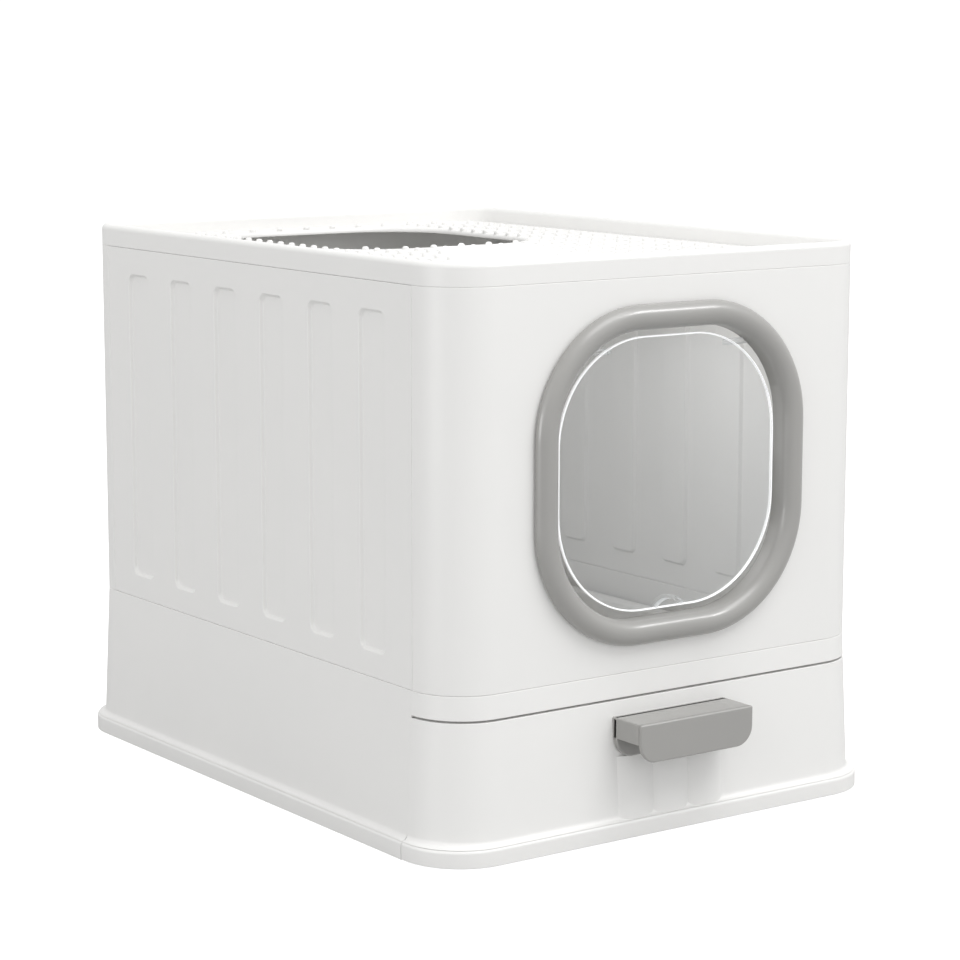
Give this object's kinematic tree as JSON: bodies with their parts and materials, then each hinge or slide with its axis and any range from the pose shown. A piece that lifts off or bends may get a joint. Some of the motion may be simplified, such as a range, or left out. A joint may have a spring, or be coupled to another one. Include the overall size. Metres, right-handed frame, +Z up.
{
  "type": "top entry litter box",
  "caption": "Folding top entry litter box: studded lid with an entry hole, ribbed panel cabin, front window with a clear swing flap, and a pull-out litter drawer with a handle.",
  "frame": {"origin": "on the floor, under the middle of the whole box with its handle", "axes": "+Z up; -Y is the front, with the window and the drawer; +Y is the longest extent; +X to the right as seen from the front"},
  "size_m": [0.386, 0.5298, 0.395],
  "materials": {
    "white_plastic": "fine moulded texture, satin",
    "grey_plastic": "fine moulded texture, satin",
    "clear_plastic": "clear, polished",
    "steel": "plain"
  },
  "bodies": {
    "cabin": {"base_frame": "white_plastic", "front_panel": "white_plastic", "back_panel": "white_plastic", "window_ring": "grey_plastic", "retaining_ring": "grey_plastic", "panel_hinge_pins": "steel"},
    "drawer": {"litter_tray": "white_plastic", "drawer_front": "white_plastic", "drawer_handle": "grey_plastic", "handle_screws": "steel"},
    "left_side": {"left_panel": "white_plastic"},
    "right_side": {"right_panel": "white_plastic"},
    "flap": {"swing_flap": "clear_plastic"},
    "top": {"lid": "white_plastic"}
  },
  "joints": [
    {"name": "lid_lift", "type": "slide", "parent": "cabin", "child": "top", "axis": [0, 0, 1], "range_m": [0, 0.12]},
    {"name": "drawer_slide", "type": "slide", "parent": "cabin", "child": "drawer", "axis": [0, -1, 0], "range_m": [0, 0.42]},
    {"name": "flap_swing", "type": "hinge", "parent": "cabin", "child": "flap", "pos_m": [0, -0.22811, 0.331], "axis": [1, 0, 0], "range_deg": [-80, 80]},
    {"name": "left_fold", "type": "hinge", "parent": "cabin", "child": "left_side", "pos_m": [-0.177, 0.01139, 0.117], "axis": [0, 1, 0], "range_deg": [0, 90]},
    {"name": "right_fold", "type": "hinge", "parent": "cabin", "child": "right_side", "pos_m": [0.177, 0.01139, 0.117], "axis": [0, -1, 0], "range_deg": [0, 85]}
  ]
}
